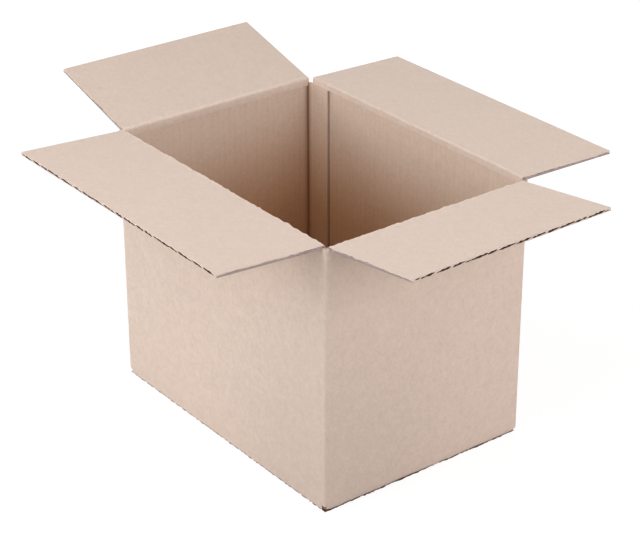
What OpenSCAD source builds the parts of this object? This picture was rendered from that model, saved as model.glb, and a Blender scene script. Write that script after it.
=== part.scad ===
// Slotted shipping carton of single-wall corrugated board, standing open.
// One blank folded square, its glue tab inside one corner, its bottom flaps shut
// and its four top flaps folded outwards. The flutes run upright in the walls,
// and from the crease to the free edge in the flaps.
// Origin at the middle of the base, +X along the long side, +Z up.

/* [Inside space] */
// Length of the space inside
inside_length = 303; // [230:1:450]
// Width of the space inside
inside_width = 215; // [140:1:280]
// Height of the space inside with all flaps closed
inside_height = 243; // [120:1:400]

/* [Board] */
// Thickness of the board
board_t = 3; // [2.5:0.1:4]
// Thickness of each flat liner
liner_t = 0.35; // [0.25:0.05:0.5]
// Thickness of the wavy sheet between the liners
medium_t = 0.35; // [0.25:0.05:0.5]
// Distance from one flute to the next
flute_pitch = 6.35; // [5:0.05:9]
// Width of the glue line where a flute touches its liner
glue_line = 1.2; // [0.8:0.1:2]
// Outer radius of an upright or bottom fold
fold_r = 2.5; // [1.5:0.1:3]

/* [Flaps] */
// Gap between the two long flaps when they are closed
flap_meet_gap = 6; // [1:0.5:12]
// Gap between the two long flaps of the bottom
bottom_seam = 0.5; // [0.5:0.5:6]
// Distance of a flap's side edge from the outside of the corner
slot_inset = 4.9; // [4.6:0.1:8]
// Play between a flap's side edge and the corner beside it
side_play = 0.3; // [0.2:0.1:0.6]
// Angle of the front flap above level
front_flap_angle = 3.5; // [-40:0.5:85]
// Angle of the back flap above level
back_flap_angle = -1.5; // [-40:0.5:85]
// Angle of the right flap above level
right_flap_angle = 7.5; // [-40:0.5:85]
// Angle of the left flap above level
left_flap_angle = 15.5; // [-40:0.5:85]

/* [Creases] */
// Depth of the long flaps' fold line under the inner liner
long_fold_inset = 0.5; // [0.5:0.1:1]
// Depth of the short flaps' fold line under the inner liner
short_fold_inset = 1.5; // [1:0.1:1.8]
// Angle of the crushed board on the inner side of a crease
inner_crush = 43; // [30:1:44]
// Angle of the crushed board on the outer side of a crease
outer_crush = 20; // [15:1:21]
// Radius of the crushed nose that a flap turns on
nose_r = 0.45; // [0.3:0.05:0.5]
// Gap between that nose and its seat in the wall
seat_gap = 0.15; // [0.1:0.05:0.3]
// Gap between a closed long flap and the short flaps under it
stack_gap = 0.2; // [0.1:0.05:0.5]
// Length of crushed board beyond a crease, before the flutes begin
crush_margin = 2; // [1:0.5:5]

/* [Glued corner] */
// Width of the glue tab
tab_width = 30; // [20:1:50]
// Distance of the tab's ends from the top crease and from the floor
tab_drop = 5; // [3:0.5:15]
// Distance of the back wall's cut end from the outside of the corner
joint_gap = 7; // [5:0.5:10]
// Depth of the slot at the glued corner under the other slots
joint_slot_drop = 7.5; // [3:0.5:12]

/* [Hidden] */
$fn = 48;

// Facets along one side of a flute
FLUTE_STEPS = 4;
// Overrun of a shape past what it cuts, or into what it joins
LAP = 1;

outer_length = inside_length + 2 * board_t;
outer_width = inside_width + 2 * board_t;
half_length = outer_length / 2;
half_width = outer_width / 2;

// Fold lines, counted from the outer liner
long_fold_depth = board_t - long_fold_inset;
short_fold_depth = board_t - short_fold_inset;

// The bottom is two boards thick: long flaps under short ones
floor_z = 2 * board_t;
short_fold_z = floor_z + inside_height + short_fold_inset;
long_fold_z = short_fold_z + short_fold_depth + stack_gap + long_fold_inset;
slot_z = (short_fold_z + long_fold_z) / 2;
foot_slot_z = board_t + fold_r;
joint_slot_z = slot_z - joint_slot_drop;

flap_length = half_width - long_fold_depth - flap_meet_gap / 2;
bottom_flap_length = half_width - bottom_seam / 2;
long_flap_width = outer_length - 2 * slot_inset;
short_flap_width = outer_width - 2 * slot_inset;
back_flap_width = outer_length - slot_inset - joint_gap;
back_flap_shift = (joint_gap - slot_inset) / 2;

tab_bottom_z = floor_z + tab_drop;
tab_top_z = long_fold_z - tab_drop;

// Height of the liner's inner face and of the wave's crest above mid board
liner_height = board_t / 2 - liner_t;
wave_height = liner_height - medium_t / 2;

KRAFT_OUTSIDE = "#cdb4a3";
KRAFT_INSIDE = "#d9c6b6";

// Mid line of the wavy sheet, at x from a crest
function wave(x, pitch) = wave_height * cos(360 * x / pitch);

// Open space under one crest of the wavy sheet, down to the liner
module flute_space(pitch) {
    reach = (pitch - glue_line) / 2;
    step = 2 * reach / FLUTE_STEPS;
    polygon(concat(
        [[-reach, -liner_height]],
        [for (i = [1 : FLUTE_STEPS - 1])
            [i * step - reach, wave(i * step - reach, pitch) - medium_t / 2]],
        [[reach, -liner_height]]
    ));
}

// Section of the board across its flutes: width along X, thickness up from the outer liner.
// The pitch gives a little, so that whole flutes fill the width, and the cut along each
// side edge leaves a half flute open.
module board_section(width) {
    count = round(width / flute_pitch);
    pitch = width / count;
    difference() {
        translate([-width / 2, 0]) square([width, board_t]);
        translate([-width / 2, board_t / 2]) {
            for (i = [0 : count])
                translate([i * pitch, 0]) flute_space(pitch);
            for (i = [0 : count - 1])
                translate([(i + 0.5) * pitch, 0]) mirror([0, 1]) flute_space(pitch);
        }
    }
}

// Section of a board's crushed end at a crease: the fold line is the origin,
// the board runs along +X and its inner liner is on top
module crease_end(depth, length) {
    inner = board_t - depth;
    polygon([
        [0, 0],
        [depth / tan(outer_crush), -depth],
        [length, -depth],
        [length, inner],
        [inner / tan(inner_crush), inner]
    ]);
}

// Section of what a crease takes off its wall: all beyond the crushed end,
// and a round seat for the flap's nose
module crease_waste(depth) {
    inner = board_t - depth;
    above = 2 * board_t;
    polygon([
        [0, 0],
        [depth / tan(outer_crush), -depth],
        [depth / tan(outer_crush), -depth - LAP],
        [-above, -depth - LAP],
        [-above, 0]
    ]);
    polygon([
        [0, 0],
        [-above, 0],
        [-above, inner + LAP],
        [inner / tan(inner_crush), inner + LAP],
        [inner / tan(inner_crush), inner]
    ]);
    circle(nose_r + seat_gap);
}

// What lies outside the round of a fold whose square corner is the origin
module fold_waste() {
    difference() {
        translate([-LAP, -LAP]) square(fold_r + LAP);
        translate([fold_r, fold_r]) circle(fold_r);
    }
}

module rounded_square(length, width, r) {
    square([length - 2 * r, width], center = true);
    square([length, width - 2 * r], center = true);
    for (x = [-1, 1], y = [-1, 1])
        translate([x * (length / 2 - r), y * (width / 2 - r)]) circle(r);
}

// Puts a shape on a long wall's fold line, with its +Y pointing out of the carton
module at_long_fold(side) {
    translate([0, side * (half_width - long_fold_depth), long_fold_z])
        rotate([0, 0, side > 0 ? 0 : 180]) children();
}

// Puts a shape on a short wall's fold line, with its +Y pointing out of the carton
module at_short_fold(side) {
    translate([side * (half_length - short_fold_depth), 0, short_fold_z])
        rotate([0, 0, side > 0 ? -90 : 90]) children();
}

// Top flap lying level on its fold line, its free edge towards +Y, inner liner on top
module flap(width, depth) {
    root = depth / tan(outer_crush) + crush_margin;
    rotate([90, 0, 90])
        linear_extrude(width, center = true) {
            crease_end(depth, root);
            circle(nose_r);
        }
    translate([0, flap_length, -depth])
        rotate([90, 0, 0])
            linear_extrude(flap_length - root + LAP) board_section(width);
}

// Cut along the top of a wall, in the place of a flap
module wall_crease(width, depth) {
    mirror([0, 1, 0])
        rotate([0, 90, 0])
            linear_extrude(width + 2 * side_play, center = true) crease_waste(depth);
}

// The walls seen from above: three folded corners, and the glued one where the
// left wall folds under the cut end of the back wall, with a half flute open
module wall_plan() {
    difference() {
        rounded_square(outer_length, outer_width, fold_r);
        square([inside_length, inside_width], center = true);
        translate([-half_length - LAP, half_width - board_t])
            square([joint_gap + LAP, board_t + LAP]);
        translate([-half_length, half_width - board_t])
            mirror([0, 1]) fold_waste();
        translate([joint_gap - half_length, half_width - board_t / 2])
            mirror([0, 1]) flute_space(flute_pitch);
    }
}

// Slots between the top flaps, which leave the corners standing at the creases
module corner_slots() {
    span = slot_inset - side_play;
    for (side = [-1, 1])
        translate([side * (half_length - span / 2 + LAP / 2), 0, slot_z + board_t])
            cube([span + LAP, outer_width + 2 * LAP, 2 * board_t], center = true);
    translate([-half_length - LAP, half_width - span, joint_slot_z])
        cube([joint_gap + LAP, span + LAP, joint_slot_drop + 2 * board_t]);
}

module walls() {
    difference() {
        translate([0, 0, foot_slot_z])
            linear_extrude(long_fold_z - foot_slot_z) wall_plan();
        at_long_fold(-1) wall_crease(long_flap_width, long_fold_depth);
        at_long_fold(1)
            translate([back_flap_shift, 0, 0]) wall_crease(back_flap_width, long_fold_depth);
        for (side = [-1, 1])
            at_short_fold(side) wall_crease(short_flap_width, short_fold_depth);
        corner_slots();
    }
}

// Tab folded off the left wall and glued inside the back wall
module glue_tab() {
    difference() {
        translate([tab_width / 2 - inside_length / 2, inside_width / 2 - board_t, tab_bottom_z])
            linear_extrude(tab_top_z - tab_bottom_z) board_section(tab_width);
        corner_slots();
    }
}

// Section of a bottom flap and the foot of its wall, square inside and round outside
module foot_section(reach, rise) {
    difference() {
        union() {
            square([board_t, rise]);
            square([reach, board_t]);
        }
        fold_waste();
    }
}

// Outer bottom flap, folded off a long wall
module long_bottom_flap(side, width, shift) {
    translate([shift, side * half_width, 0])
        rotate([90, 0, side > 0 ? -90 : 90])
            linear_extrude(width, center = true) foot_section(bottom_flap_length, foot_slot_z + LAP);
}

// Inner bottom flap, folded off a short wall and lying on the long ones
module short_bottom_flap(side) {
    root = board_t + fold_r + crush_margin;
    translate([side * half_length, 0, board_t])
        rotate([0, 0, side > 0 ? 90 : -90]) {
            rotate([90, 0, 90])
                linear_extrude(short_flap_width, center = true)
                    foot_section(root, foot_slot_z - board_t + LAP);
            translate([0, bottom_flap_length, 0])
                rotate([90, 0, 0])
                    linear_extrude(bottom_flap_length - root + LAP) board_section(short_flap_width);
        }
}

module carton_body() {
    color(KRAFT_OUTSIDE) {
        walls();
        glue_tab();
        long_bottom_flap(-1, long_flap_width, 0);
        long_bottom_flap(1, back_flap_width, back_flap_shift);
        for (side = [-1, 1])
            short_bottom_flap(side);
    }
}

module front_flap() {
    color(KRAFT_INSIDE)
        at_long_fold(-1)
            rotate([front_flap_angle, 0, 0]) flap(long_flap_width, long_fold_depth);
}

module back_flap() {
    color(KRAFT_INSIDE)
        at_long_fold(1)
            translate([back_flap_shift, 0, 0])
                rotate([back_flap_angle, 0, 0]) flap(back_flap_width, long_fold_depth);
}

module right_flap() {
    color(KRAFT_INSIDE)
        at_short_fold(1)
            rotate([right_flap_angle, 0, 0]) flap(short_flap_width, short_fold_depth);
}

module left_flap() {
    color(KRAFT_INSIDE)
        at_short_fold(-1)
            rotate([left_flap_angle, 0, 0]) flap(short_flap_width, short_fold_depth);
}

carton_body();
front_flap();
back_flap();
right_flap();
left_flap();
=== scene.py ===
"""Dresses an open slotted carton of corrugated kraft board.

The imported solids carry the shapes. This script gives them their paper finishes, lays the
two liners across each top crease and along the flaps' worn edges, and sets the studio and
the camera. Sizes are in metres, in the solids' own frame: +X along the long side, +Z up.
"""

from __future__ import annotations

import logging
import math
from collections.abc import Callable, Sequence
from dataclasses import dataclass
from enum import Enum
from functools import partial

import bmesh
import bpy
from mathutils import Matrix, Vector, noise


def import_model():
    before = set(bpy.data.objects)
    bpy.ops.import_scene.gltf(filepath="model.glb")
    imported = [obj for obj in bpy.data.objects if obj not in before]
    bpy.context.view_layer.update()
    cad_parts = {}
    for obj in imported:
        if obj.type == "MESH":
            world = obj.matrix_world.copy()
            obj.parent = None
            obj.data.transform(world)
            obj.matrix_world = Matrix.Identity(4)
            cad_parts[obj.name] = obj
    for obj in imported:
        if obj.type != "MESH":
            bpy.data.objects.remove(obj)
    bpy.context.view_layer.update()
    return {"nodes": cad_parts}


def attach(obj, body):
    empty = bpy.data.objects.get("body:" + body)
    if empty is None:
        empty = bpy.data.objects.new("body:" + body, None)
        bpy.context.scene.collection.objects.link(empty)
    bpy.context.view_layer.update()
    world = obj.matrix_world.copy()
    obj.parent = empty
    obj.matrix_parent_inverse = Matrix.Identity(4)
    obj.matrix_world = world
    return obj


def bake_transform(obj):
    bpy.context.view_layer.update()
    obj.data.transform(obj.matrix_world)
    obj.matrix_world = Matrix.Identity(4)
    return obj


log = logging.getLogger("carton")

MM = 0.001
UP = Vector((0, 0, 1))
TURNED = 0.6  # a face looks a way when its normal's share of that way is past this
INNER_CRUSH, OUTER_CRUSH = 43, 20  # degrees by which the board narrows to its crease on each side
CRUSH_MARGIN = 2 * MM

Tree = bpy.types.NodeTree
Node = bpy.types.Node

# A point of a strip's section: its distance outwards and upwards in millimetres, and how far the
# strip's unevenness moves it, from 0 to 1
StripPoint = tuple[float, float, float]


class Liner(Enum):
    """The two flat faces of the board."""

    INNER = "inner"
    OUTER = "outer"


# Colours and nodes


def linear(hex_colour: str) -> tuple[float, float, float, float]:
    """Turns an sRGB hex colour into the linear colour that a shader takes.

    Args:
        hex_colour: six hex digits, with or without a leading #.

    Returns:
        The colour as linear red, green, blue and an alpha of 1.
    """
    digits = hex_colour.lstrip("#")
    parts = [int(digits[i : i + 2], 16) / 255 for i in (0, 2, 4)]
    red, green, blue = (c / 12.92 if c <= 0.04045 else ((c + 0.055) / 1.055) ** 2.4 for c in parts)
    return red, green, blue, 1.0


def add_node(tree: Tree, kind: str, inputs: dict | Sequence = (), **settings: object) -> Node:
    """Adds one node with its settings, values and links.

    Args:
        tree: the node tree that gets it.
        kind: the node's type name without its leading ShaderNode, and its operation, if it
            has one, after a colon.
        inputs: what feeds its sockets, in their order, or by socket name or number. Each is
            a plain value, an output, or a node whose first live output is taken.
        settings: the node's own properties.

    Returns:
        The new node.
    """
    kind, _, operation = kind.partition(":")
    node = tree.nodes.new("ShaderNode" + kind)
    if operation:
        node.operation = operation
    for name, value in settings.items():
        setattr(node, name, value)
    for key, value in inputs.items() if isinstance(inputs, dict) else enumerate(inputs):
        if isinstance(value, Node):
            value = next(output for output in value.outputs if output.enabled)
        if isinstance(value, bpy.types.NodeSocket):
            tree.links.new(value, node.inputs[key])
        else:
            node.inputs[key].default_value = value
    return node


def empty_material(name: str) -> tuple[bpy.types.Material, Tree]:
    """Makes a material whose node tree is still empty.

    Args:
        name: the material's name.

    Returns:
        The material and its tree.
    """
    material = bpy.data.materials.new(name)
    material.use_nodes = True
    material.node_tree.nodes.clear()
    return material, material.node_tree


# Paper finishes


@dataclass(frozen=True)
class KraftLiner:
    """Kraft linerboard, machine finished, unprinted and uncoated.

    Rolled from pulp and left bare: matte all over, with a cloudy formation, a fine felt of
    short fibres and a few darker shives.

    Attributes:
        name: the material's name.
        liner: colour of the liner's face, a little faded.
        cloud_size: size of the formation's clouds.
        felt_size: size of the fibre felt's marks.
        mottle_size: size of the felt's clumps.
        shive_size: size of a shive.
        felt_depth: height of the felt.
        felt_tone: how much the felt changes the brightness.
        mottle_tone: how much its clumps do.
        cloud_tone: how much the clouds do.
        shive_tone: how much darker a shive is.
        roughness: how matte the paper is.
    """

    name: str
    liner: str = "#dcc9bb"
    cloud_size: float = 24 * MM
    felt_size: float = 1.3 * MM  # fibres are some 0.03 mm thick, and are drawn as coarse as they show
    mottle_size: float = 3.6 * MM
    shive_size: float = 1.6 * MM
    felt_depth: float = 0.03 * MM
    felt_tone: float = 0.24
    mottle_tone: float = 0.11
    cloud_tone: float = 0.04
    shive_tone: float = 0.05
    roughness: float = 0.88

    def build(self) -> bpy.types.Material:
        """Builds the node material.

        Returns:
            The finished material.
        """
        material, tree = empty_material(self.name)
        place = add_node(tree, "TexCoord")
        tone, felt = self.paper(tree, place)
        colour, height = self.surface(tree, place, tone, felt)
        bump = add_node(tree, "Bump", {"Strength": 1.0, "Distance": 1.0, "Height": height})
        matte = {"Roughness": self.roughness, "IOR": 1.45, "Specular IOR Level": 0.25}
        shader = add_node(tree, "BsdfPrincipled", {"Base Color": colour, "Normal": bump, **matte})
        add_node(tree, "OutputMaterial", {"Surface": shader})
        return material

    def paper(self, tree: Tree, place: Node) -> tuple[Node, Node]:
        """Draws the paper's formation, felt and shives.

        Args:
            tree: the material's tree.
            place: its Texture Coordinate node.

        Returns:
            A brightness factor round 1, and the felt from 0 to 1.
        """
        point = place.outputs["Object"]
        layers = (
            (1 / self.cloud_size, 3, 0.5),
            (0.5 / self.felt_size, 2, 0.6),
            (0.5 / self.mottle_size, 1, 0.5),
            (0.5 / self.shive_size, 1, 0.5),
        )
        cloud, felt, mottle, shives = (
            add_node(
                tree, "TexNoise", {"Vector": point, "Scale": scale, "Detail": detail, "Roughness": rough}
            )
            for scale, detail, rough in layers
        )
        specks = add_node(tree, "MapRange", {"Value": shives, "From Min": 0.70, "From Max": 0.78})
        centre = 1 - self.cloud_tone / 2
        tone = add_node(tree, "Math:MULTIPLY_ADD", [cloud, self.cloud_tone, centre])
        for layer, share in ((felt, self.felt_tone), (mottle, self.mottle_tone)):
            centred = add_node(tree, "Math:SUBTRACT", [layer, 0.5])
            tone = add_node(tree, "Math:MULTIPLY_ADD", [centred, share, tone])
        tone = add_node(tree, "Math:MULTIPLY_ADD", [specks, -self.shive_tone, tone])
        return tone, felt

    def surface(self, tree: Tree, place: Node, tone: Node, felt: Node) -> tuple[Node, Node]:
        """Gives the liner's colour and height.

        Args:
            tree: the material's tree.
            place: its Texture Coordinate node; not used here.
            tone: brightness factor of the paper.
            felt: the fibre felt, from 0 to 1.

        Returns:
            The colour, and a height in metres.
        """
        colour = add_node(tree, "VectorMath:SCALE", {0: linear(self.liner)[:3], "Scale": tone})
        height = add_node(tree, "Math:MULTIPLY", [felt, self.felt_depth])
        return colour, height

    def ribs(self, tree: Tree, across: Node, pitch: float) -> Node:
        """Draws the flutes that telegraph through the liner as a faint washboard.

        Args:
            tree: the material's tree.
            across: distance across the flutes.
            pitch: distance from flute to flute.

        Returns:
            A wave from -1 to 1.
        """
        phase = add_node(tree, "Math:MULTIPLY", [across, math.tau / pitch])
        return add_node(tree, "Math:SINE", [phase])


@dataclass(frozen=True, kw_only=True)
class FlapBoard(KraftLiner):
    """Single-wall board of a top flap: kraft liners on a corrugated medium of recycled paper.

    The faces are bare kraft. Along the cut edges the greyer medium shows, and painted
    shade colours the open flutes dark inside.

    Attributes:
        fold: a point on the flap's fold line.
        normal: direction that the inner liner faces.
        outward: direction from the fold line to the free edge.
        inner: how far the inner liner lies from the fold line.
        outer: how far the outer liner lies from the fold line.
        cut: colour of the cut edge.
        hollow: colour inside the flutes, a dark brown of painted shade.
        crushed: length of the crushed end at the fold, which has no flutes.
        flute_pitch: distance from flute to flute.
        rib_depth: height of the washboard that the flutes leave.
    """

    fold: Vector
    normal: Vector
    outward: Vector
    inner: float
    outer: float
    crushed: float
    cut: str = "#ac9f9b"
    hollow: str = "#664741"
    felt_tone: float = 0.18
    mottle_tone: float = 0.08
    flute_pitch: float = 6.35 * MM
    rib_depth: float = 0.02 * MM

    def surface(self, tree: Tree, place: Node, tone: Node, felt: Node) -> tuple[Node, Node]:
        """Gives the colour of liner, cut edge and painted shade in the flutes, and the height.

        Args:
            tree: the material's tree.
            place: its Texture Coordinate node.
            tone: brightness factor of the paper.
            felt: the fibre felt, from 0 to 1.

        Returns:
            The colour, and a height in metres.
        """
        paper, height = super().surface(tree, place, tone, felt)
        offset = add_node(tree, "VectorMath:SUBTRACT", [place.outputs["Object"], tuple(self.fold)])
        ways = (self.normal, self.outward, self.outward.cross(self.normal))
        rise, reach, across = (
            add_node(tree, "VectorMath:DOT_PRODUCT", [offset, tuple(way)]) for way in ways
        )
        facing = add_node(tree, "VectorMath:DOT_PRODUCT", [place.outputs["Normal"], tuple(self.normal)])
        flat = add_node(tree, "Math:ABSOLUTE", [facing])
        is_turned = add_node(tree, "Math:LESS_THAN", [flat, TURNED])
        past_nose = add_node(tree, "Math:GREATER_THAN", [reach, 0.4 * MM])
        is_cut = add_node(tree, "Math:MULTIPLY", [is_turned, past_nose])

        middle = (self.inner - self.outer) / 2
        half = (self.inner + self.outer) / 2 - 0.3 * MM
        within = add_node(tree, "Math:COMPARE", [rise, middle, half])
        fluted = add_node(tree, "Math:GREATER_THAN", [reach, self.crushed])
        in_flute = add_node(tree, "Math:MULTIPLY", [within, fluted])

        # Painted shade: the open flutes are coloured dark brown inside.
        shade, edge = (
            add_node(tree, "VectorMath:SCALE", {0: linear(paint)[:3], "Scale": tone})
            for paint in (self.hollow, self.cut)
        )
        paper = add_node(tree, "Mix", {"Factor": is_cut, "A": paper, "B": edge}, data_type="RGBA")
        colour = add_node(tree, "Mix", {"Factor": in_flute, "A": paper, "B": shade}, data_type="RGBA")

        wave = self.ribs(tree, across, self.flute_pitch)
        height = add_node(tree, "Math:MULTIPLY_ADD", [wave, self.rib_depth, height])
        return colour, height


@dataclass(frozen=True)
class CutMedium(KraftLiner):
    """Corrugating medium of recycled paper, cut by the die and frayed.

    The knife leaves loose fibre ends, so it is greyer and rougher than the liners.
    """

    liner: str = "#ab9b97"
    felt_tone: float = 0.45
    mottle_tone: float = 0.25
    felt_depth: float = 0.06 * MM


@dataclass(frozen=True, kw_only=True)
class CreasedLiner(KraftLiner):
    """Kraft liner bent over a crease.

    Painted shade darkens a line under its ridge, and a painted highlight lightens the ridge.

    Attributes:
        ridge: a point on the ridge.
        along: direction of the ridge.
        ridge_highlight: how much lighter the painted highlight makes the ridge.
        ridge_highlight_reach: how far from the ridge that shows.
        pressed: how much darker the line of painted shade is.
        valley_shade_drop: how far under the ridge it lies.
        valley_shade_reach: half its width.
    """

    ridge: Vector
    along: Vector
    ridge_highlight: float = 0.09
    ridge_highlight_reach: float = 3 * MM
    pressed: float = 0.10
    valley_shade_drop: float = 1.9 * MM
    valley_shade_reach: float = 0.8 * MM

    def surface(self, tree: Tree, place: Node, tone: Node, felt: Node) -> tuple[Node, Node]:
        """Gives the liner's colour, with its painted shade line and painted highlight, and its height.

        Args:
            tree: the material's tree.
            place: its Texture Coordinate node.
            tone: brightness factor of the paper.
            felt: the fibre felt, from 0 to 1.

        Returns:
            The colour, and a height in metres.
        """
        point = place.outputs["Object"]
        offset = add_node(tree, "VectorMath:SUBTRACT", [point, tuple(self.ridge)])
        along = add_node(tree, "VectorMath:PROJECT", [offset, tuple(self.along)])
        offset = add_node(tree, "VectorMath:SUBTRACT", [offset, along])
        distance = add_node(tree, "VectorMath:LENGTH", [offset])
        rise = add_node(tree, "SeparateXYZ", [offset]).outputs["Z"]
        wave = add_node(tree, "TexNoise", {"Vector": point, "Scale": 1 / (9 * MM), "Detail": 1.0})
        slack = add_node(tree, "MapRange", {"Value": wave, "To Min": -2 * MM, "To Max": 2 * MM})
        wavy = add_node(tree, "Math:ADD", [rise, slack])
        # A painted highlight along the ridge, and a line of painted shade under it.
        marks = (
            (distance, 0.0, self.ridge_highlight_reach, self.ridge_highlight),
            (wavy, -self.valley_shade_drop, self.valley_shade_reach, -self.pressed),
        )
        for level, centre, reach, share in marks:
            away = add_node(tree, "Math:SUBTRACT", [level, centre])
            away = add_node(tree, "Math:ABSOLUTE", [away])
            span = {"Value": away, "From Min": reach, "From Max": 0.0, "To Max": share}
            mark = add_node(tree, "MapRange", span)
            tone = add_node(tree, "Math:ADD", [tone, mark])
        return super().surface(tree, place, tone, felt)


@dataclass(frozen=True)
class WallBoard(KraftLiner):
    """Single-wall board of the walls: kraft liners on a corrugated medium of recycled paper.

    Outside it is faded, and painted shade darkens it towards the foot of the near corner.
    Inside, painted shade makes it darker and browner the deeper it lies, the flutes show as
    faint upright stripes, and painted shade draws the inner folds as dark lines.

    Attributes:
        lining: colour of the inside below the rim, darker than the liner as painted shade.
        deep_shade: colour of the painted shade that the inside turns to deep down.
        cut: colour of the cut edges near the rim.
        deep_cut_shade: colour of the painted shade that the cut edges turn to deep inside.
        fold: colour of the painted shade down in the inner folds.
        depth_shade_top: height below which the inside's painted shade begins.
        depth_shade_full: height below which that painted shade is full.
        inner_corner: place of an inner corner, from the middle.
        tab_corner: place of the corner that the glue tab makes with the left wall.
        fold_shade_width: how far from an inner fold the painted shade reaches.
        shaded_foot: the foot of the near corner, where the painted shade is darkest.
        foot_shade_reach: how far from there the painted shade reaches.
        foot_shade_depth: how much darker it is at its worst.
        flute_pitch: distance from flute to flute.
        rib_tone: how much lighter and darker the flutes make the inside.
        streak_tone: the same for the uneven streaks between them.
        lining_reach: half the length and half the width within which a face is an inner one.
        end_reach: the same for the cut ends of the glue tab and of the bottom flaps.
        rim_from: height above which a level face is a cut edge.
    """

    lining: str = "#d3bead"
    deep_shade: str = "#c09571"
    cut: str = "#b39c90"
    deep_cut_shade: str = "#6b4736"
    fold: str = "#80502f"
    depth_shade_top: float = 240 * MM
    depth_shade_full: float = 105 * MM
    inner_corner: tuple[float, float, float] = (151.5 * MM, 107.5 * MM, 0)
    tab_corner: tuple[float, float, float] = (-151.5 * MM, 104.5 * MM, 0)
    fold_shade_width: float = 8 * MM
    shaded_foot: tuple[float, float, float] = (154.5 * MM, -110.5 * MM, 0)
    foot_shade_reach: float = 210 * MM
    foot_shade_depth: float = 0.14
    flute_pitch: float = 6.35 * MM
    rib_tone: float = 0.012
    streak_tone: float = 0.07
    lining_reach: tuple[float, float] = (152.5 * MM, 108.5 * MM)
    end_reach: tuple[float, float] = (150.5 * MM, 104 * MM)
    rim_from: float = 50 * MM

    def surface(self, tree: Tree, place: Node, tone: Node, felt: Node) -> tuple[Node, Node]:
        """Gives the colour of the walls' two faces and cut edges, with their painted shade, and the height.

        Args:
            tree: the material's tree.
            place: its Texture Coordinate node.
            tone: brightness factor of the paper.
            felt: the fibre felt, from 0 to 1.

        Returns:
            The colour, and a height in metres.
        """
        point = place.outputs["Object"]
        inside = self.inside(tree, point)
        ribs = self.inner_ribs(tree, place)
        tone = add_node(tree, "Math:MULTIPLY_ADD", [ribs, inside, tone])
        # Painted shade: the outside turns darker towards the foot of the near corner.
        foot_shade = self.foot_shade(tree, point)
        outside_tone = add_node(tree, "Math:MULTIPLY", [tone, foot_shade])
        face, height = super().surface(tree, place, outside_tone, felt)

        # Painted shade: the inside, and its cut edges deep down, turn darker and browner the deeper they lie.
        level = add_node(tree, "SeparateXYZ", [point]).outputs["Z"]
        span = {"Value": level, "From Min": self.depth_shade_top, "From Max": self.depth_shade_full}
        depth_shade = add_node(tree, "MapRange", span, interpolation_type="SMOOTHSTEP")
        pale, shaded_lining, fold_shade_colour = (
            add_node(tree, "VectorMath:SCALE", {0: linear(paint)[:3], "Scale": tone})
            for paint in (self.lining, self.deep_shade, self.fold)
        )
        edge = add_node(
            tree, "Mix", {"Factor": depth_shade, "A": linear(self.cut), "B": linear(self.deep_cut_shade)}, data_type="RGBA"
        )
        lining = add_node(tree, "Mix", {"Factor": depth_shade, "A": pale, "B": shaded_lining}, data_type="RGBA")
        # Painted shade: the upright inner folds are coloured dark brown.
        pressed = self.fold_shade_share(tree, point)
        lining = add_node(tree, "Mix", {"Factor": pressed, "A": lining, "B": fold_shade_colour}, data_type="RGBA")
        # Painted shade: the inside is coloured darker than the outside.
        paper = add_node(tree, "Mix", {"Factor": inside, "A": face, "B": lining}, data_type="RGBA")
        is_cut = self.cut_faces(tree, place)
        colour = add_node(tree, "Mix", {"Factor": is_cut, "A": paper, "B": edge}, data_type="RGBA")
        return colour, height

    def inside(self, tree: Tree, point: bpy.types.NodeSocket) -> Node:
        """Gives 1 inside the carton and 0 outside."""
        spread = add_node(tree, "VectorMath:ABSOLUTE", [point])
        split = add_node(tree, "SeparateXYZ", [spread])
        in_x = add_node(tree, "Math:LESS_THAN", [split.outputs["X"], self.lining_reach[0]])
        in_y = add_node(tree, "Math:LESS_THAN", [split.outputs["Y"], self.lining_reach[1]])
        return add_node(tree, "Math:MULTIPLY", [in_x, in_y])

    def inner_ribs(self, tree: Tree, place: Node) -> Node:
        """Draws the uneven upright stripes of the flutes under the inner liner.

        Args:
            tree: the material's tree.
            place: its Texture Coordinate node.

        Returns:
            What they add to the brightness.
        """
        split = add_node(tree, "SeparateXYZ", [place.outputs["Object"]])
        side = add_node(tree, "SeparateXYZ", [place.outputs["Normal"]])
        to_side = add_node(tree, "Math:ABSOLUTE", [side.outputs["X"]])
        short_wall = add_node(tree, "Math:GREATER_THAN", [to_side, TURNED])
        across = add_node(
            tree, "Mix", {0: short_wall, 2: split.outputs["X"], 3: split.outputs["Y"]}, data_type="FLOAT"
        )
        wave = self.ribs(tree, across, self.flute_pitch)
        stretched = add_node(tree, "Mapping", {"Vector": place.outputs["Object"], "Scale": (320, 320, 12)})
        streak = add_node(tree, "TexNoise", {"Vector": stretched, "Scale": 1.0, "Detail": 1.0})
        streak = add_node(tree, "Math:SUBTRACT", [streak, 0.5])
        wave = add_node(tree, "Math:MULTIPLY", [wave, self.rib_tone])
        return add_node(tree, "Math:MULTIPLY_ADD", [streak, self.streak_tone, wave])

    def fold_shade_share(self, tree: Tree, point: bpy.types.NodeSocket) -> Node:
        """Gives how much painted shade darkens a point near one of the upright inner folds.

        Args:
            tree: the material's tree.
            point: object coordinates.

        Returns:
            1 in the middle of a fold line, falling to 0 at its sides.
        """
        plan = add_node(tree, "VectorMath:MULTIPLY", [point, (1, 1, 0)])
        spread = add_node(tree, "VectorMath:ABSOLUTE", [plan])
        corner = add_node(tree, "VectorMath:DISTANCE", [spread, self.inner_corner])
        tab = add_node(tree, "VectorMath:DISTANCE", [plan, self.tab_corner])
        near = add_node(tree, "Math:MINIMUM", [corner, tab])
        share = add_node(tree, "MapRange", {"Value": near, "From Min": self.fold_shade_width, "From Max": 0.0})
        return add_node(tree, "Math:POWER", [share, 3.0])

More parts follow.
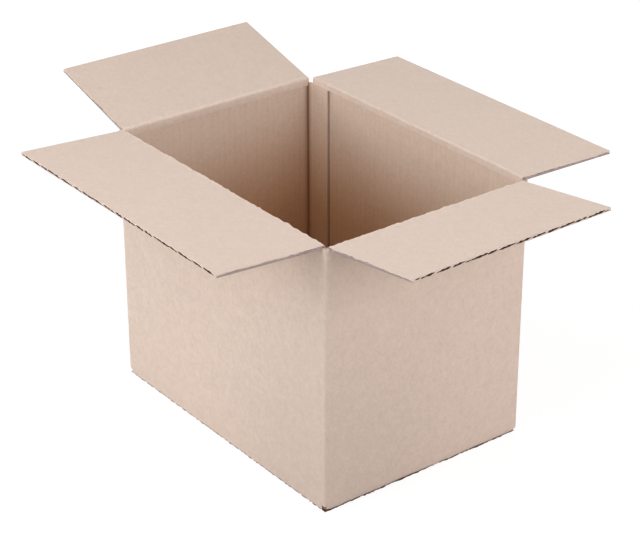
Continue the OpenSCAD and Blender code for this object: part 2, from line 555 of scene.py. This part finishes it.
    def foot_shade(self, tree: Tree, point: bpy.types.NodeSocket) -> Node:
        """Gives the painted shade that darkens the walls round the foot of the near corner.

        Args:
            tree: the material's tree.
            point: object coordinates.

        Returns:
            A factor up to 1.
        """
        away = add_node(tree, "VectorMath:DISTANCE", [point, self.shaded_foot])
        span = {"Value": away, "From Min": 0.0, "From Max": self.foot_shade_reach, "To Min": 1 - self.foot_shade_depth}
        return add_node(tree, "MapRange", span, interpolation_type="SMOOTHSTEP")

    def cut_faces(self, tree: Tree, place: Node) -> Node:
        """Tells cut edges from liners.

        Args:
            tree: the material's tree.
            place: its Texture Coordinate node.

        Returns:
            1 on the cut edge of a wall, of the glue tab or of a bottom flap, 0 elsewhere.
        """
        split = add_node(tree, "SeparateXYZ", [place.outputs["Object"]])
        side = add_node(tree, "SeparateXYZ", [place.outputs["Normal"]])
        level = add_node(tree, "Math:GREATER_THAN", [side.outputs["Z"], TURNED])
        high = add_node(tree, "Math:GREATER_THAN", [split.outputs["Z"], self.rim_from])
        cut = add_node(tree, "Math:MULTIPLY", [level, high])
        for axis, reach in zip("XY", self.end_reach):
            turned = add_node(tree, "Math:ABSOLUTE", [side.outputs[axis]])
            turned = add_node(tree, "Math:GREATER_THAN", [turned, TURNED])
            out = add_node(tree, "Math:ABSOLUTE", [split.outputs[axis]])
            between = add_node(tree, "Math:LESS_THAN", [out, reach])
            upright = add_node(tree, "Math:MULTIPLY", [turned, between])
            cut = add_node(tree, "Math:MAXIMUM", [cut, upright])
        return cut


@dataclass(frozen=True)
class StudioFloor:
    """Matte white studio floor: full white to the camera, plain paper to the light.

    Under the carton it is coloured dark brown, a painted shadow in the gap at the carton's foot.

    Attributes:
        name: the material's name.
        glow: what the camera sees of it in full shadow, near the carton.
        answer: how much of the real light the camera sees on top.
        throwback: how much light it throws back.
        shade: colour of the painted shadow in the gap under the carton's foot.
        half_length: half the length of what stands on it.
        half_width: half the width of what stands on it.
        plain_from: distance from the middle at which it begins to turn plain white.
        plain_to: distance from which it is plain white.
    """

    name: str = "matte white studio floor"
    glow: float = 0.86
    answer: float = 0.20
    throwback: float = 0.80
    shade: str = "#7a5f54"
    half_length: float = 153.0 * MM
    half_width: float = 109.6 * MM
    plain_from: float = 600 * MM
    plain_to: float = 1500 * MM

    def build(self) -> bpy.types.Material:
        """Builds the node material.

        Returns:
            The finished material.
        """
        material, tree = empty_material(self.name)
        real = add_node(tree, "BsdfDiffuse", {"Color": (self.throwback,) * 3 + (1,)})
        answer = add_node(tree, "BsdfDiffuse", {"Color": (self.answer,) * 3 + (1,)})
        point = add_node(tree, "TexCoord").outputs["Object"]
        away = add_node(tree, "VectorMath:LENGTH", [point])
        span = {"From Min": self.plain_from, "From Max": self.plain_to, "To Min": self.glow}
        level = add_node(tree, "MapRange", {"Value": away, **span})
        glow = add_node(tree, "Emission", {"Color": (1, 1, 1, 1), "Strength": level})
        seen = add_node(tree, "AddShader", [glow, answer])
        # Painted shadow: under the carton the floor is coloured dark brown.
        gap = add_node(tree, "BsdfDiffuse", {"Color": linear(self.shade)})
        seen = add_node(tree, "MixShader", [self.covered(tree), seen, gap])
        mix = add_node(tree, "MixShader", [seen_share(tree), real, seen])
        add_node(tree, "OutputMaterial", {"Surface": mix})
        return material

    def covered(self, tree: Tree) -> Node:
        """Gives 1 where the carton stands, with a slightly ragged outline, and 0 elsewhere."""
        point = add_node(tree, "TexCoord").outputs["Object"]
        ragged = add_node(tree, "TexNoise", {"Vector": point, "Scale": 1 / (5 * MM), "Detail": 2.0})
        slack = add_node(tree, "MapRange", {"Value": ragged, "To Min": -2 * MM, "To Max": 2 * MM})
        spread = add_node(tree, "VectorMath:ABSOLUTE", [point])
        split = add_node(tree, "SeparateXYZ", [spread])
        out_x = add_node(tree, "Math:ADD", [split.outputs["X"], slack])
        out_y = add_node(tree, "Math:ADD", [split.outputs["Y"], slack])
        in_x = add_node(tree, "Math:LESS_THAN", [out_x, self.half_length])
        in_y = add_node(tree, "Math:LESS_THAN", [out_y, self.half_width])
        return add_node(tree, "Math:MULTIPLY", [in_x, in_y])


def seen_share(tree: Tree) -> Node:
    """Gives 1 for rays that show the background: straight, mirrored or through glass."""
    path = add_node(tree, "LightPath")
    direct, mirrored = path.outputs["Is Camera Ray"], path.outputs["Is Glossy Ray"]
    through = path.outputs["Is Transmission Ray"]
    either = add_node(tree, "Math:MAXIMUM", [direct, mirrored])
    return add_node(tree, "Math:MAXIMUM", [either, through])


# Strips of liner over creases and along edges


def ripple(along: float, size: float, row: float, layer: float = 0) -> float:
    """Gives one of many smooth random waves along a line.

    Args:
        along: place along the line.
        size: length of a wave, in millimetres.
        row: which wave it is.
        layer: which one of its row.

    Returns:
        A number of about -1 to 1.
    """
    return noise.noise(Vector((along / (size * MM), row, layer)))


@dataclass
class LinerStrip:
    """A strip of liner that runs straight along a crease or an edge, and is uneven there.

    Attributes:
        middle: the middle of the line that it is told from.
        along: the direction that it runs in.
        out: its section's outward direction.
        up: its section's upward direction.
        width: how long it runs.
        step: distance between its cross lines.
        line: its section.
        uneven: gives a point's shift outwards and upwards for a place along the strip.
        thickness: how thick it is, away from the side that it shows.
    """

    middle: Vector
    along: Vector
    out: Vector
    up: Vector
    width: float
    step: float
    line: list[StripPoint]
    uneven: Callable[[float], tuple[float, float]]
    thickness: float = 0.3 * MM

    def lay(self, bm: bmesh.types.BMesh, facing: Vector) -> None:
        """Adds the strip to a mesh: a grid, bent to the section and made uneven.

        Args:
            bm: the mesh that gets it.
            facing: the side that it shows.
        """
        count, last = round(self.width / self.step), len(self.line) - 1
        grid = bmesh.ops.create_grid(bm, x_segments=count, y_segments=last, size=1.0)
        for vert in grid["verts"]:
            along = vert.co.x * self.width / 2
            out, up, loose = self.line[round((vert.co.y + 1) / 2 * last)]
            more_out, more_up = self.uneven(along)
            out, up = out * MM + more_out * loose, up * MM + more_up * loose
            vert.co = self.middle + self.along * along + self.out * out + self.up * up
        faces = list(dict.fromkeys(face for vert in grid["verts"] for face in vert.link_faces))
        bmesh.ops.recalc_face_normals(bm, faces=faces)
        total = sum((face.normal * face.calc_area() for face in faces), Vector())
        if total.dot(facing) < 0:
            bmesh.ops.reverse_faces(bm, faces=faces)
        bmesh.ops.solidify(bm, geom=faces, thickness=self.thickness)
        for face in faces:
            face.smooth = True
        # The front is shaded round, with sharp edge lines, so that its light doesn't lean over to the rim.
        for edge in {edge for face in faces for edge in face.edges}:
            edge.smooth = all(face.smooth for face in edge.link_faces)


def mesh_object(name: str, bm: bmesh.types.BMesh, material: bpy.types.Material) -> bpy.types.Object:
    """Makes a scene object from a finished bmesh, and frees the bmesh.

    Args:
        name: the piece's name.
        bm: its mesh, in the solids' frame.
        material: its finish.

    Returns:
        The linked object, at the origin.
    """
    mesh = bpy.data.meshes.new(name)
    bm.to_mesh(mesh)
    bm.free()
    mesh.materials.append(material)
    piece = bpy.data.objects.new(name, mesh)
    bpy.context.scene.collection.objects.link(piece)
    return piece


@dataclass
class TopFlap:
    """One top flap: its crease, with the two liners that run over it, and its worn edges.

    Attributes:
        name: name of the flap's body.
        fold: middle of the fold line.
        out: level direction out of the carton.
        width: length of the crease.
        depth: how far the fold line lies inside the outer liner.
        angle: the flap's angle above level, in degrees.
        seed: start of the flap's own unevenness.
        length: from the fold line to the free edge.
        board_t: thickness of the board.
        flute_pitch: distance from flute to flute.
        lean: how far a group of crushed flutes climbs along the free edge.
        lift: how far the added liner lies off the solid.
    """

    name: str
    fold: Vector
    out: Vector
    width: float
    depth: float
    angle: float
    seed: float
    length: float = 105 * MM
    board_t: float = 3 * MM
    flute_pitch: float = 6.35 * MM
    lean: float = 0.9 * MM
    lift: float = 0.07 * MM

    @property
    def inner(self) -> float:
        """How far the fold line lies inside the inner liner."""
        return self.board_t - self.depth

    @property
    def along(self) -> Vector:
        """Direction of the crease."""
        return self.out.cross(UP)

    @property
    def outward(self) -> Vector:
        """Direction from the crease to the free edge, at rest."""
        turn = math.radians(self.angle)
        return self.out * math.cos(turn) + UP * math.sin(turn)

    @property
    def normal(self) -> Vector:
        """Direction that the flap's inner liner faces, at rest."""
        turn = math.radians(self.angle)
        return UP * math.cos(turn) - self.out * math.sin(turn)

    @property
    def crushed(self) -> float:
        """Length of the crushed end beyond the fold line, where the flutes are pressed flat."""
        return self.depth / math.tan(math.radians(OUTER_CRUSH)) + CRUSH_MARGIN

    @property
    def turns_over(self) -> bool:
        """Whether the flap makes more than half a turn from its rest to shut."""
        return self.angle < 0

    @property
    def title(self) -> str:
        """The flap's name in plain words."""
        return self.name.replace("_", " ")

    def dress(self, solid: bpy.types.Object) -> None:
        """Gives the solid its finish and lays the added liners.

        Args:
            solid: the flap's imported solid.
        """
        board = FlapBoard(
            f"single-wall kraft board of the {self.title}",
            fold=self.fold,
            normal=self.normal,
            outward=self.outward,
            inner=self.inner,
            outer=self.depth,
            crushed=self.crushed,
        )
        cover(solid, board.build())
        ridge = self.fold + UP * (self.inner + 0.3 * MM)
        crease = CreasedLiner(
            f"creased kraft liner of the {self.title}", ridge=ridge, along=self.along
        ).build()
        pieces = [self.lay_crease(side, crease) for side in Liner]
        torn = KraftLiner(f"torn kraft liner of the {self.title}").build()
        pieces.append(self.lay_worn_edges(torn))
        pieces.append(self.lay_cut_sides(CutMedium(f"cut edges of the {self.title}").build()))
        for piece in pieces:
            log.info("%s: %d faces", piece.name, len(piece.data.polygons))

    def crease_line(self, liner: Liner) -> list[StripPoint]:
        """Gives the liner's line over the crease, from the wall to the flap.

        Args:
            liner: which face of the board.

        Returns:
            The section, with the flap at its rest angle.
        """
        k, e = self.inner / MM, self.lift / MM
        if liner is Liner.INNER:
            wall = -k - e
            plan = [
                (wall + 0.40, -7.4, 0.0, 0.0),
                (wall + 0.02, -5.8, 0.0, 0.3),
                (wall - 0.06, -4.4, 0.0, 0.3),
                (wall - 0.10, -3.0, 0.0, 0.4),
                (wall - 0.08, -1.6, 0.0, 0.5),
                (wall - 0.02, -0.5, 0.1, 0.7),
                (wall + 0.12 * k + 0.04, 0.25 * k, 0.25, 0.8),
                (wall + 0.38 * k + 0.08, 0.62 * k + 0.22, 0.4, 0.9),
                (-0.40 * k - 0.05, 0.80 * k + 0.36, 0.5, 1.0),
                (0.30, 0.84 * k + 0.22, 0.7, 0.8),
                (1.10, k + 0.12, 0.9, 0.6),
                (1.70, k + 0.38, 1.0, 0.4),
                (2.30, k + 0.17, 1.0, 0.0),
                (3.60, k + 0.13, 1.0, 0.0),
                (5.20, k + e, 1.0, 0.0),
                (7.60, k + 0.4 * e, 1.0, 0.0),
                (9.80, k - 0.05, 1.0, 0.0),
            ]
        else:
            d = self.depth / MM + e
            wall = [(d - e - 0.05, -14.0, 0.0, 0.0), (d - 0.6 * e, -11.0, 0.0, 0.0), (d, -8.2, 0.0, 0.1)]
            flap = [(11.0, -d + 0.6 * e, 1.0, 0.0), (14.0, -d + e + 0.05, 1.0, 0.0)]
            if self.turns_over:
                corner = ((d, -5.4), (d + 0.03, -1.52 * d), (d + 0.10, -1.27 * d), (d + 0.25, -1.15 * d))
                bend = [(out, up, 0.0, 0.4) for out, up in corner]
                bend += [(-up, -out, 1.0, 0.4) for out, up in reversed(corner)]
                bend.append((8.2, -d, 1.0, 0.1))
            else:
                bend = [
                    (0.93 * d, -2.60 * d, 0.0, 0.3),
                    (0.80 * d + 0.1, -1.60 * d, 0.0, 0.6),
                    (0.62 * d + 0.1, -0.92 * d, 0.2, 1.0),
                    (0.54 * d + 0.1, -0.54 * d - 0.1, 0.5, 0.6),
                    (0.92 * d, -0.62 * d - 0.1, 0.8, 1.0),
                    (1.60 * d, -0.80 * d - 0.1, 1.0, 0.25),
                    (2.60 * d, -0.93 * d, 1.0, 0.05),
                    (8.2, -d, 1.0, 0.0),
                ]
            plan = wall + bend + flap
        points = []
        for out, up, share, loose in plan:
            turn = math.radians(self.angle) * share
            c, s = math.cos(turn), math.sin(turn)
            points.append((out * c - up * s, out * s + up * c, loose))
        return points

    def crease_bulge(self, along: float, liner: Liner) -> float:
        """Gives how much the board bulges at one place of the crease.

        Over the hollow of a flute it sinks, and over a crest it stands.

        Args:
            along: distance along the crease.
            liner: which face of the board.

        Returns:
            A number of about -1 to 1.
        """
        shift = self.seed * 7.3 + (3.1 if liner is Liner.OUTER else 0.0)
        flute = math.sin(along / self.flute_pitch * math.tau)
        slow, pair = ripple(along, 15, shift), ripple(along, 6.5, shift, 9)
        quick = ripple(along, 3.2, shift, 5)
        return 0.15 * flute + 0.5 * slow + 1.1 * pair + 0.6 * quick

    def lay_crease(self, liner: Liner, material: bpy.types.Material) -> bpy.types.Object:
        """Sweeps the liner's line along the crease, over wall and flap at rest.

        Args:
            liner: which face of the board.
            material: its finish.

        Returns:
            The piece.
        """
        size = 0.75 * MM if liner is Liner.INNER else 0.6 * MM
        away = (Vector((-1, 1)) if liner is Liner.INNER else Vector((1, -1))).normalized() * size

        def uneven(along: float) -> tuple[float, float]:
            """Pushes the liner off the board where the crease bulges."""
            bulge = max(self.crease_bulge(along, liner) + 0.25, -0.1)
            return away.x * bulge, away.y * bulge

        strip = LinerStrip(
            self.fold, self.along, self.out, UP, self.width, 1.3 * MM, self.crease_line(liner), uneven
        )
        bm = bmesh.new()
        strip.lay(bm, UP - self.out if liner is Liner.INNER else self.out - UP)
        piece = mesh_object(f"{self.name}_{liner.value}_crease", bm, material)
        start, end = self.bend(liner)
        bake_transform(piece)
        return piece

    def bend(self, liner: Liner) -> tuple[Vector, Vector]:
        """Gives where a liner's turn from the wall to the flap begins and where it ends.

        A turn of more than half a circle can't be shared out smoothly, because its middle
        would take the shorter way round, through the board. Such a liner folds at a line.

        Args:
            liner: which face of the board.

        Returns:
            The two points.
        """
        if self.turns_over:
            turn = math.radians(45 + self.angle / 2)
            across = self.out * math.cos(turn) + UP * math.sin(turn)
            middle = self.fold + across * (0.40 * MM if liner is Liner.INNER else 0.0)
            return middle - across * (0.02 * MM), middle + across * (0.02 * MM)
        hand, tilt = (-1, INNER_CRUSH) if liner is Liner.INNER else (1, OUTER_CRUSH)
        reach, wall_side = 3 * MM, math.radians(tilt)
        start = self.fold + self.out * (hand * reach * math.sin(wall_side))
        start -= UP * (reach * math.cos(wall_side))
        flap_side = math.radians(self.angle - hand * tilt)
        end = self.fold + self.out * (reach * math.cos(flap_side)) + UP * (reach * math.sin(flap_side))
        return start, end

    def lay_worn_edges(self, material: bpy.types.Material) -> bpy.types.Object:
        """Lays the liners' worn lips along the crushed free edge and over the two cut sides.

        Args:
            material: their finish.

        Returns:
            The piece, which rides on the flap.
        """
        bm = bmesh.new()
        line = self.lip_line()
        free_edge = self.fold + self.outward * self.length
        for liner in Liner:
            up, rise = self.face(liner)
            place, lip = free_edge + up * rise, partial(self.crushed_lip, liner)
            strip = LinerStrip(place, self.along, self.outward, up, self.width, 0.6 * MM, line, lip)
            strip.lay(bm, up + self.outward)
        up, rise = self.face(Liner.INNER)
        for hand in (-1, 1):
            middle, out, length = self.side(hand)
            place, lip = middle + up * rise, partial(self.rolled_lip, hand)
            LinerStrip(place, self.outward, out, up, length, 0.9 * MM, line, lip).lay(bm, up + out)
        piece = mesh_object(f"{self.name}_worn_edges", bm, material)
        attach(piece, self.name)
        return piece

    def lay_cut_sides(self, material: bpy.types.Material) -> bpy.types.Object:
        """Lays the frayed flank of the medium over the flute that each side cut lays open.

        Args:
            material: its finish.

        Returns:
            The piece, which rides on the flap.
        """
        line = [(-0.10, -0.02, 0.0), (0.04, -0.02, 0.0), (0.04, -0.02, 1.0)]
        bm = bmesh.new()
        up, rise = self.face(Liner.OUTER)
        for hand in (-1, 1):
            middle, out, length = self.side(hand)
            place, flank = middle + up * rise, partial(self.frayed_flank, hand)
            LinerStrip(place, self.outward, out, up, length, 0.7 * MM, line, flank).lay(bm, out)
        piece = mesh_object(f"{self.name}_cut_sides", bm, material)
        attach(piece, self.name)
        return piece

    def side(self, hand: int) -> tuple[Vector, Vector, float]:
        """Gives a cut side's line beyond the crushed end.

        Args:
            hand: -1 or 1 for the side.

        Returns:
            Its middle at the fold line's level, its outward direction and its length.
        """
        start = self.crushed - 0.6 * MM
        length = self.length - start
        out = self.along * hand
        return self.fold + out * (self.width / 2) + self.outward * (start + length / 2), out, length

    def face(self, liner: Liner) -> tuple[Vector, float]:
        """Gives the direction that a liner faces, and how far it lies from the fold line.

        Args:
            liner: which face of the board.

        Returns:
            The direction and the distance.
        """
        if liner is Liner.INNER:
            return self.normal, self.inner
        return -self.normal, self.depth

    def lip_line(self) -> list[StripPoint]:
        """Gives a lip's section: flat on the liner, then over the edge and down its front."""
        e = self.lift / MM
        flat = [(-2.4, -0.04, 0.0), (-1.4, 0.2 * e, 0.0), (-0.4, 0.8 * e, 0.04)]
        return flat + [(0.02, e - 0.06, 0.12), (0.10, -0.10, 0.4), (0.09, -0.10, 1.0)]

    def flute_opening(self, along: float) -> tuple[float, float]:
        """Tells what is left open of the flutes at one place of the crushed free edge.

        The knife leans the flutes over and presses two or three of them together, so that
        they climb from liner to liner and are pinched shut at the end.

        Args:
            along: distance along the free edge.

        Returns:
            The opening's middle above the board's middle, and half its height.
        """
        shift = self.seed * 5.7
        drift = 0.5 * ripple(along, 23, shift)
        flutes = along / self.flute_pitch
        climb = (flutes / 2.6 + drift) % 1.0
        spread = 0.5 + 0.5 * math.cos(math.tau * (flutes + 0.3 * drift))
        wide = 0.75 + 0.3 * spread + 0.5 * ripple(along, 7, shift, 3)
        pinch = min(max(0.9 + 1.2 * ripple(along, 18, shift, 6), 0.0), 1.0)
        to_corner = (self.width / 2 - abs(along)) / (7 * MM)
        half = wide * (1 - pinch * abs(2 * climb - 1) ** 5) * min(to_corner, 1.0)
        return self.lean * (climb - 0.5), max(half, 0.0) * MM

    def crushed_lip(self, liner: Liner, along: float) -> tuple[float, float]:
        """Lets a lip hang over the free edge, down to the flutes' openings.

        Args:
            liner: which face of the board.
            along: place along the edge.

        Returns:
            The lip's shift outwards and upwards.
        """
        side = 1 if liner is Liner.INNER else -1
        middle, half = self.flute_opening(along)
        torn = ripple(along, 2.2, self.seed, 9 * side)
        hang = self.board_t / 2 - side * middle - half + 0.15 * torn * MM
        return (0.15 + 0.45 * torn) * MM, -max(hang, 0.05 * MM)

    def rolled_lip(self, hand: int, along: float) -> tuple[float, float]:
        """Rolls the inner liner over a cut side, with a few tears and more so at the free edge.

        Args:
            hand: -1 or 1 for the side.
            along: place along the side.

        Returns:
            The lip's shift outwards and upwards.
        """
        shift = self.seed * 5.7 + hand * 2.3
        slow, tear = ripple(along, 17, shift), ripple(along, 4.5, shift, 3)
        share = along / self.length
        hang = 0.55 + 0.5 * share + 0.7 * slow + 0.4 * tear
        tip = 1.6 * max(share - 0.4, 0.0) / 0.06
        return (0.12 + 0.1 * tear) * MM, -min(max(hang, 0.03, tip), 1.6 + 0.5 * tip) * MM

    def frayed_flank(self, hand: int, along: float) -> tuple[float, float]:
        """Lets the medium's flank stand up from the outer liner and end raggedly.

        Args:
            hand: -1 or 1 for the side.
            along: place along the side.

        Returns:
            The flank's shift outwards and upwards.
        """
        shift = self.seed * 5.7 + hand * 2.3 + 11.9
        slow, tear = ripple(along, 13, shift), ripple(along, 3.5, shift, 3)
        fray = ripple(along, 1.5, shift, 6)
        hang = 2.2 + 0.4 * slow + 0.6 * tear + 0.3 * fray
        return 0.1 * fray * MM, -min(max(hang, 0.5), 2.85) * MM


def cover(solid: bpy.types.Object, material: bpy.types.Material) -> None:
    """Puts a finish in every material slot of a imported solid.

    Args:
        solid: the solid.
        material: its finish.
    """
    if not solid.material_slots:
        solid.data.materials.append(material)
    for place in solid.material_slots:
        place.material = material
    log.info("%s: %d triangles", solid.name, len(solid.data.polygons))


@dataclass
class Carton:
    """The carton: its walls and bottom in one solid, and its four top flaps.

    Attributes:
        inside_length: length of the space inside.
        inside_width: width of the space inside.
        board_t: thickness of the board.
        long_fold_depth: how far the long flaps' fold lines lie inside the outer liner.
        short_fold_depth: how far the short flaps' fold lines lie inside the outer liner.
        long_fold_z: height of the long flaps' fold lines.
        short_fold_z: height of the short flaps' fold lines.
        slot_inset: from a wall's outside to a flap's side edge.
        joint_gap: the same at the glued corner.
        tab_width: width of the glue tab.
        tab_foot: height of the glue tab's lower end.
        tab_top: height of its upper end.
        front_angle: the front flap's angle above level, in degrees.
        back_angle: the back flap's.
        right_angle: the right flap's.
        left_angle: the left flap's.
    """

    inside_length: float = 303 * MM
    inside_width: float = 215 * MM
    board_t: float = 3 * MM
    long_fold_depth: float = 2.5 * MM
    short_fold_depth: float = 1.5 * MM
    long_fold_z: float = 252.7 * MM
    short_fold_z: float = 250.5 * MM
    slot_inset: float = 4.9 * MM
    joint_gap: float = 7 * MM
    tab_width: float = 30 * MM
    tab_foot: float = 11 * MM
    tab_top: float = 247.7 * MM
    front_angle: float = 3.5
    back_angle: float = -1.5
    right_angle: float = 7.5
    left_angle: float = 15.5

    def flaps(self) -> list[TopFlap]:
        """Lists the four top flaps."""
        half_length = self.inside_length / 2 + self.board_t
        half_width = self.inside_width / 2 + self.board_t
        long_y = half_width - self.long_fold_depth
        short_x = half_length - self.short_fold_depth
        long_width = 2 * (half_length - self.slot_inset)
        back_width = 2 * half_length - self.slot_inset - self.joint_gap
        back_shift = (self.joint_gap - self.slot_inset) / 2
        short_width = 2 * (half_width - self.slot_inset)
        long_z, short_z = self.long_fold_z, self.short_fold_z
        long_d, short_d = self.long_fold_depth, self.short_fold_depth
        front, back = Vector((0, -long_y, long_z)), Vector((back_shift, long_y, long_z))
        right, left = Vector((short_x, 0, short_z)), Vector((-short_x, 0, short_z))
        right_way, left_way = Vector((1, 0, 0)), Vector((-1, 0, 0))
        return [
            TopFlap("front_flap", front, Vector((0, -1, 0)), long_width, long_d, self.front_angle, 1),
            TopFlap("back_flap", back, Vector((0, 1, 0)), back_width, long_d, self.back_angle, 2),
            TopFlap(
                "right_flap", right, right_way, short_width, short_d, self.right_angle, 3, lean=-0.9 * MM
            ),
            TopFlap("left_flap", left, left_way, short_width, short_d, self.left_angle, 4),
        ]

    def dress(self, nodes: dict[str, bpy.types.Object]) -> None:
        """Gives the solids their finishes and adds the liners.

        Args:
            nodes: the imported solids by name.
        """
        board = WallBoard("single-wall kraft board of the walls").build()
        cover(nodes["carton_body"], board)
        pressed = WallBoard("pressed kraft liner of the glue tab", cut="#d5c0b0", deep_cut_shade="#c19773").build()
        for piece in (self.lay_foot_creases(board), self.lay_tab_edges(pressed)):
            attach(piece, "carton_body")
            log.info("%s: %d faces", piece.name, len(piece.data.polygons))
        for flap in self.flaps():
            flap.dress(nodes[flap.name])

    def lay_foot_creases(self, material: bpy.types.Material) -> bpy.types.Object:
        """Lays the outer liner over the bottom creases of the two short walls.

        Their bottom flaps are the inner ones, so the liner bulges down from them into the
        gap over the floor, and almost closes it.

        Args:
            material: its finish.

        Returns:
            The piece.
        """
        half_length = self.inside_length / 2 + self.board_t
        width = self.inside_width + self.board_t
        line = [(-0.30, 15.0, 0.0), (0.05, 13.0, 0.0), (0.06, 9.0, 0.0), (0.02, 6.0, 0.1), (-0.30, 3.6, 0.3)]
        line += [(-1.0, 1.7, 0.7), (-2.1, 0.95, 1.0), (-3.4, 1.3, 0.6), (-4.5, 2.8, 0.2), (-5.0, 4.2, 0.0)]
        bm = bmesh.new()
        for hand in (-1, 1):
            out, bulge = Vector((hand, 0, 0)), partial(self.foot_bulge, hand, width / 2)
            strip = LinerStrip(out * half_length, Vector((0, 1, 0)), out, UP, width, 1.5 * MM, line, bulge)
            strip.lay(bm, out - UP)
        return mesh_object("foot_creases", bm, material)

    def foot_bulge(self, hand: int, end: float, along: float) -> tuple[float, float]:
        """Lets a foot crease wave, and raises it at its ends.

        Args:
            hand: -1 or 1 for the wall.
            end: where the crease ends.
            along: place along it.

        Returns:
            Its shift outwards and upwards.
        """
        wave = 0.5 * ripple(along, 45, hand, 21) + 0.9 * ripple(along, 9, hand, 27)
        rise = min(max((abs(along) - end + 7 * MM) / (7 * MM), 0.0), 1.0)
        return 0.0, max(wave * (1 - rise) + 2.2 * rise * rise, -0.85) * MM

    def lay_tab_edges(self, material: bpy.types.Material) -> bpy.types.Object:
        """Lays the inner liner over the pressed upright and top edges of the glue tab.

        Args:
            material: its finish.

        Returns:
            The piece.
        """
        face = Vector((0, self.inside_width / 2 - self.board_t, 0))
        side = -self.inside_length / 2 + self.tab_width
        rise, reach = self.tab_top - self.tab_foot, self.tab_width - 1 * MM
        inwards = Vector((0, -1, 0))
        line = [(-2.4, -0.05, 0.0), (-1.4, 0.07, 0.0), (-0.5, 0.05, 0.0), (0.05, -0.15, 0.1)]
        line.append((0.12, -0.20, 1.0))

        def upright(along: float) -> tuple[float, float]:
            """Lets the liner lie over a good third of the upright edge."""
            return 0.0, (-1.1 + 0.4 * ripple(along, 9, 31)) * MM

        def level(along: float) -> tuple[float, float]:
            """Lets the liner lie over most of the top edge."""
            return 0.0, (-2.6 + 0.5 * ripple(along, 4, 37)) * MM

        bm = bmesh.new()
        middle = face + Vector((side, 0, self.tab_foot + rise / 2))
        out = Vector((1, 0, 0))
        LinerStrip(middle, UP, out, inwards, rise, 2 * MM, line, upright).lay(bm, out + inwards)
        middle = face + Vector((side - reach / 2, 0, self.tab_top))
        LinerStrip(middle, out, UP, inwards, reach, 1 * MM, line, level).lay(bm, UP + inwards)
        return mesh_object("tab_edges", bm, material)


# Studio and camera


@dataclass(frozen=True)
class Softbox:
    """A square soft light that looks at the carton.

    Attributes:
        name: its name.
        bearing: degrees round from the front towards the right flap.
        height: degrees above level.
        power: watts.
        tint: colour of its light.
        reach: how far it stands from the carton.
        size: its side.
    """

    name: str
    bearing: float
    height: float
    power: float
    tint: str = "#ffffff"
    reach: float = 2.4
    size: float = 1.2

    def build(self) -> bpy.types.Object:
        """Makes the light.

        Returns:
            The linked light.
        """
        data = bpy.data.lights.new(self.name, "AREA")
        data.shape, data.size, data.energy = "SQUARE", self.size, self.power
        data.color = linear(self.tint)[:3]
        turn, climb = math.radians(self.bearing), math.radians(self.height)
        away = Vector((math.sin(turn) * math.cos(climb), -math.cos(turn) * math.cos(climb), math.sin(climb)))
        lamp = bpy.data.objects.new(self.name, data)
        lamp.location = Vector((0, 0, 0.12)) + away * self.reach
        lamp.rotation_euler = away.to_track_quat("Z", "Y").to_euler()
        bpy.context.scene.collection.objects.link(lamp)
        return lamp


@dataclass
class Studio:
    """White paper floor, a ring of low soft lights and the camera.

    The light comes mostly from the sides, so the walls are bright and the inside falls off
    quickly below the rim.

    Attributes:
        world_level: brightness of the even light from all round.
        softboxes: the lights.
        camera_place: where the camera stands.
        camera_rows: its directions right, up and back.
        lens: focal length in millimetres for a 36 mm wide picture.
    """

    world_level: float = 0.02
    softboxes: tuple[Softbox, ...] = (
        Softbox("front softbox", 0, 20, 19.5),
        Softbox("front left softbox", 315, 20, 16.5),
        Softbox("back left softbox", 225, 20, 23.0),
        Softbox("back right softbox", 135, 20, 9.2),
        Softbox("right softbox", 90, 23, 20.4, tint="#fff9f9"),
        Softbox("top softbox", 0, 90, 6.0),
        Softbox("front fill", 0, 50, 2.7, reach=1.1, size=0.5),
        Softbox("right fill", 90, 50, 0.7, reach=1.1, size=0.5),
        Softbox("back right fill", 135, 50, 1.4, reach=1.1, size=0.5),
        Softbox("front left fill", 315, 50, 0.6, reach=1.1, size=0.5),
    )
    camera_place: tuple[float, float, float] = (1.2920, -0.9882, 0.9642)
    camera_rows: tuple[tuple[float, float, float], ...] = (
        (0.60915, 0.79305, -0.00159),
        (-0.3576, 0.27646, 0.89201),
        (0.70785, -0.54281, 0.452),
    )
    lens: float = 112.79

    def build(self) -> None:
        """Sets up the floor, the light round it, the lights and the camera."""
        self._floor()
        self._world()
        for box in self.softboxes:
            box.build()
        self._camera()
        bpy.context.scene.view_settings.view_transform = "Standard"

    def _floor(self) -> None:
        """Lays the floor that the carton stands on."""
        bm = bmesh.new()
        bmesh.ops.create_grid(bm, x_segments=1, y_segments=1, size=6.0)
        floor = mesh_object("floor", bm, StudioFloor().build())

    def _world(self) -> None:
        """Fills the room with even light, and shows white to the camera."""
        world = bpy.data.worlds.new("studio")
        bpy.context.scene.world = world
        world.use_nodes = True
        tree = world.node_tree
        tree.nodes.clear()
        level = add_node(tree, "Mix", {0: seen_share(tree), 2: self.world_level, 3: 1.0}, data_type="FLOAT")
        back = add_node(tree, "Background", {"Color": (1, 1, 1, 1), "Strength": level})
        add_node(tree, "OutputWorld", {"Surface": back})

    def _camera(self) -> None:
        """Places the camera as the photograph's was."""
        data = bpy.data.cameras.new("camera")
        data.sensor_fit, data.sensor_width, data.lens = "HORIZONTAL", 36, self.lens
        data.clip_start, data.clip_end = 0.05, 30
        camera = bpy.data.objects.new("camera", data)
        turn = Matrix(self.camera_rows).transposed().to_4x4()
        camera.matrix_world = Matrix.Translation(Vector(self.camera_place)) @ turn
        bpy.context.scene.collection.objects.link(camera)
        bpy.context.scene.camera = camera


def main() -> None:
    """Loads the solids, dresses them, and sets up the lights, floor and camera."""
    logging.basicConfig(level=logging.INFO, format="%(name)s: %(message)s")
    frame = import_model()
    Carton().dress(frame["nodes"])
    Studio().build()


if __name__ == "__main__":
    main()
